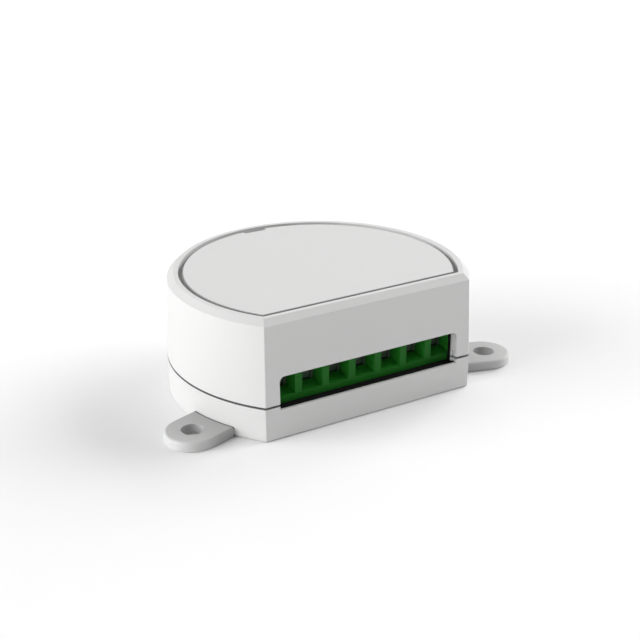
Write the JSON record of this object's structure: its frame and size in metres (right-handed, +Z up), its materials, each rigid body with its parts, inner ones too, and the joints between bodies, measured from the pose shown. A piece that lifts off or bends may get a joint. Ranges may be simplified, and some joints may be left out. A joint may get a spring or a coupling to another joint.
{
  "type": "lighting control unit",
  "caption": "D-shaped white plastic lighting control module with a lift-off lid, a green screw terminal block behind a front window and two screw ears.",
  "frame": {"origin": "middle of the outline's box, on the underside plane", "axes": "+Z up through the lid, -Y out of the flat face with the wire window, +X along that face"},
  "size_m": [0.0666, 0.0426, 0.0203],
  "materials": {
    "case_plastic": "fine satin moulded white plastic",
    "terminal_plastic": "moulded dark green terminal plastic",
    "board": "dark green solder mask",
    "tinned_copper": "dull tin plate",
    "screw_steel": "zinc plated steel",
    "zinc_steel": "zinc plated steel",
    "cage_steel": "nickel plated steel",
    "relay_case": "black moulded case",
    "film_case": "cast resin box",
    "resistor_coat": "flameproof coating",
    "varistor_coat": "epoxy coating",
    "ferrite": "sintered ferrite",
    "enamelled_wire": "enamelled copper wire",
    "led": "clear and white resin",
    "clear_plastic": "clear moulded plastic",
    "black_plastic": "black moulded plastic",
    "can": "sleeved aluminium can",
    "chip": "moulded chip body",
    "crystal_can": "stamped metal can",
    "antenna_wire": "enamelled copper wire",
    "button_plastic": "light grey moulded plastic"
  },
  "bodies": {
    "housing": {"base_shell": "case_plastic", "top_shell": "case_plastic", "circuit_board": "board", "terminal_housing": "terminal_plastic", "terminal_contacts": "tinned_copper", "board_screws": "zinc_steel", "relay_left": "relay_case", "relay_right": "relay_case", "film_capacitor": "film_case", "fuse_resistor": "resistor_coat", "varistor": "varistor_coat", "choke_core": "ferrite", "choke_winding": "enamelled_wire", "indicator_led": "led", "light_pipe": "clear_plastic", "switch_case": "black_plastic", "transformer_core": "ferrite", "transformer_bobbin": "black_plastic", "transformer_winding": "enamelled_wire", "reservoir_capacitor": "can", "output_capacitor": "can", "power_chip": "chip", "radio_board": "board", "radio_chip": "chip", "crystal": "crystal_can", "antenna": "antenna_wire", "controller_chip": "chip", "rectifier_diodes": "chip"},
    "lid": {"lid": "case_plastic"},
    "button": {"programming_button": "button_plastic", "switch_plunger": "button_plastic"},
    "screw_1": {"terminal_screw_1": "screw_steel"},
    "cage_1": {"clamp_cage_1": "cage_steel"},
    "screw_2": {"terminal_screw_2": "screw_steel"},
    "cage_2": {"clamp_cage_2": "cage_steel"},
    "screw_3": {"terminal_screw_3": "screw_steel"},
    "cage_3": {"clamp_cage_3": "cage_steel"},
    "screw_4": {"terminal_screw_4": "screw_steel"},
    "cage_4": {"clamp_cage_4": "cage_steel"},
    "screw_5": {"terminal_screw_5": "screw_steel"},
    "cage_5": {"clamp_cage_5": "cage_steel"},
    "screw_6": {"terminal_screw_6": "screw_steel"},
    "cage_6": {"clamp_cage_6": "cage_steel"},
    "screw_7": {"terminal_screw_7": "screw_steel"},
    "cage_7": {"clamp_cage_7": "cage_steel"}
  },
  "joints": [
    {"name": "lid_lift", "type": "slide", "parent": "housing", "child": "lid", "axis": [0, 0, 1], "range_m": [0, 0.012]},
    {"name": "programming_button_press", "type": "slide", "parent": "housing", "child": "button", "axis": [0, 0, -1], "range_m": [0, 0.0003], "stiffness_N_per_m": 800, "springref_m": -0.001},
    {"name": "terminal_screw_1_turn", "type": "hinge", "parent": "housing", "child": "screw_1", "pos_m": [-0.015, -0.01507, 0.01345], "axis": [0, 0, -1], "range_deg": [0, 1800]},
    {"name": "clamp_cage_1_rise", "type": "slide", "parent": "housing", "child": "cage_1", "axis": [0, 0, 1], "range_m": [0, 0.00225]},
    {"name": "terminal_screw_2_turn", "type": "hinge", "parent": "housing", "child": "screw_2", "pos_m": [-0.01, -0.01507, 0.01345], "axis": [0, 0, -1], "range_deg": [0, 1800]},
    {"name": "clamp_cage_2_rise", "type": "slide", "parent": "housing", "child": "cage_2", "axis": [0, 0, 1], "range_m": [0, 0.00225]},
    {"name": "terminal_screw_3_turn", "type": "hinge", "parent": "housing", "child": "screw_3", "pos_m": [-0.005, -0.01507, 0.01345], "axis": [0, 0, -1], "range_deg": [0, 1800]},
    {"name": "clamp_cage_3_rise", "type": "slide", "parent": "housing", "child": "cage_3", "axis": [0, 0, 1], "range_m": [0, 0.00225]},
    {"name": "terminal_screw_4_turn", "type": "hinge", "parent": "housing", "child": "screw_4", "pos_m": [0, -0.01507, 0.01345], "axis": [0, 0, -1], "range_deg": [0, 1800]},
    {"name": "clamp_cage_4_rise", "type": "slide", "parent": "housing", "child": "cage_4", "axis": [0, 0, 1], "range_m": [0, 0.00225]},
    {"name": "terminal_screw_5_turn", "type": "hinge", "parent": "housing", "child": "screw_5", "pos_m": [0.005, -0.01507, 0.01345], "axis": [0, 0, -1], "range_deg": [0, 1800]},
    {"name": "clamp_cage_5_rise", "type": "slide", "parent": "housing", "child": "cage_5", "axis": [0, 0, 1], "range_m": [0, 0.00225]},
    {"name": "terminal_screw_6_turn", "type": "hinge", "parent": "housing", "child": "screw_6", "pos_m": [0.01, -0.01507, 0.01345], "axis": [0, 0, -1], "range_deg": [0, 1800]},
    {"name": "clamp_cage_6_rise", "type": "slide", "parent": "housing", "child": "cage_6", "axis": [0, 0, 1], "range_m": [0, 0.00225]},
    {"name": "terminal_screw_7_turn", "type": "hinge", "parent": "housing", "child": "screw_7", "pos_m": [0.015, -0.01507, 0.01345], "axis": [0, 0, -1], "range_deg": [0, 1800]},
    {"name": "clamp_cage_7_rise", "type": "slide", "parent": "housing", "child": "cage_7", "axis": [0, 0, 1], "range_m": [0, 0.00225]}
  ],
  "couplings": [
    {"joint": "terminal_screw_1_turn", "follows": "clamp_cage_1_rise", "rad_per_m": 13963},
    {"joint": "terminal_screw_2_turn", "follows": "clamp_cage_2_rise", "rad_per_m": 13963},
    {"joint": "terminal_screw_3_turn", "follows": "clamp_cage_3_rise", "rad_per_m": 13963},
    {"joint": "terminal_screw_4_turn", "follows": "clamp_cage_4_rise", "rad_per_m": 13963},
    {"joint": "terminal_screw_5_turn", "follows": "clamp_cage_5_rise", "rad_per_m": 13963},
    {"joint": "terminal_screw_6_turn", "follows": "clamp_cage_6_rise", "rad_per_m": 13963},
    {"joint": "terminal_screw_7_turn", "follows": "clamp_cage_7_rise", "rad_per_m": 13963}
  ]
}
